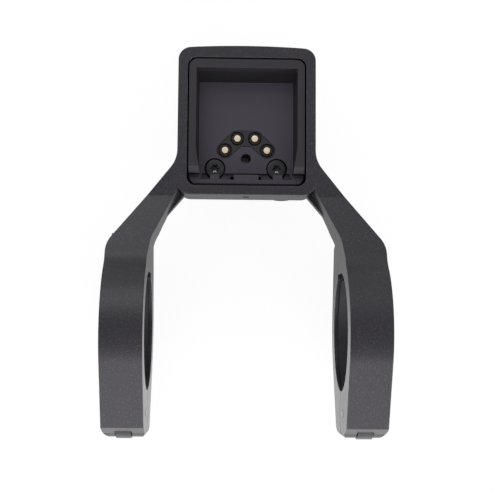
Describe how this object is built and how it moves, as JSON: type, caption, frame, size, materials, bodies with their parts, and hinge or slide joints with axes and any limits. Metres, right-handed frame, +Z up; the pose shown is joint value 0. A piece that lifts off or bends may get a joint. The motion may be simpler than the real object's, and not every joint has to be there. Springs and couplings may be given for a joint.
{
  "type": "bike display mount",
  "caption": "Two hinged rings clamp a handlebar; two arms carry a square cradle with a recessed contact tray for a display ahead of the bar.",
  "frame": {"origin": "on the handlebar's axis, midway between the two rings", "axes": "+X along the bar to the rider's right, +Y ahead, +Z up"},
  "size_m": [0.0754, 0.1073, 0.0432],
  "materials": {
    "anodised_frame": "dark, bead blasted and anodised",
    "moulded_black": "matt, finely eroded",
    "contact_black": "matt, smooth",
    "rubber": "matt",
    "bronze": "dull, shaded",
    "gold": "pale gold plate",
    "spring_steel": "bright wire",
    "board_green": "solder mask",
    "pin_steel": "ground",
    "insert_brass": "turned",
    "black_screw": "black oxide"
  },
  "bodies": {
    "mount": {"arm_frame": "anodised_frame", "display_tray": "moulded_black", "contact_block": "contact_black", "contact_seal": "rubber", "contact_barrel_1": "bronze", "contact_barrel_2": "bronze", "contact_barrel_3": "bronze", "contact_barrel_4": "bronze", "contact_spring_1": "spring_steel", "contact_spring_2": "spring_steel", "contact_spring_3": "spring_steel", "contact_spring_4": "spring_steel", "circuit_board": "board_green", "base_cover": "moulded_black", "cover_screws": "black_screw", "cable_gland": "rubber", "tray_screw_left": "black_screw", "tray_screw_right": "black_screw", "hinge_pin_left": "pin_steel", "hinge_pin_right": "pin_steel", "thread_insert_left": "insert_brass", "thread_insert_right": "insert_brass", "upper_liner_left": "rubber", "upper_liner_right": "rubber"},
    "jaw_left": {"clamp_jaw_left": "anodised_frame", "lower_liner_left": "rubber"},
    "screw_left": {"clamp_screw_left": "black_screw"},
    "jaw_right": {"clamp_jaw_right": "anodised_frame", "lower_liner_right": "rubber"},
    "screw_right": {"clamp_screw_right": "black_screw"},
    "plunger_1": {"contact_plunger_1": "gold"},
    "plunger_2": {"contact_plunger_2": "gold"},
    "plunger_3": {"contact_plunger_3": "gold"},
    "plunger_4": {"contact_plunger_4": "gold"}
  },
  "joints": [
    {"name": "jaw_left_swing", "type": "hinge", "parent": "mount", "child": "jaw_left", "pos_m": [-0.03205, -0.022, 0.0042], "axis": [-1, 0, 0], "range_deg": [0, 75]},
    {"name": "screw_left_travel", "type": "slide", "parent": "jaw_left", "child": "screw_left", "axis": [0, 0, 1], "range_m": [0, 0.0044]},
    {"name": "jaw_right_swing", "type": "hinge", "parent": "mount", "child": "jaw_right", "pos_m": [0.03205, -0.022, 0.0042], "axis": [-1, 0, 0], "range_deg": [0, 75]},
    {"name": "screw_right_travel", "type": "slide", "parent": "jaw_right", "child": "screw_right", "axis": [0, 0, 1], "range_m": [0, 0.0044]},
    {"name": "contact_1_press", "type": "slide", "parent": "mount", "child": "plunger_1", "axis": [0, 0, -1], "range_m": [0, 0.0008], "stiffness_N_per_m": 600, "deforming": ["contact_spring_1"]},
    {"name": "contact_2_press", "type": "slide", "parent": "mount", "child": "plunger_2", "axis": [0, 0, -1], "range_m": [0, 0.0008], "stiffness_N_per_m": 600, "deforming": ["contact_spring_2"]},
    {"name": "contact_3_press", "type": "slide", "parent": "mount", "child": "plunger_3", "axis": [0, 0, -1], "range_m": [0, 0.0008], "stiffness_N_per_m": 600, "deforming": ["contact_spring_3"]},
    {"name": "contact_4_press", "type": "slide", "parent": "mount", "child": "plunger_4", "axis": [0, 0, -1], "range_m": [0, 0.0008], "stiffness_N_per_m": 600, "deforming": ["contact_spring_4"]}
  ]
}
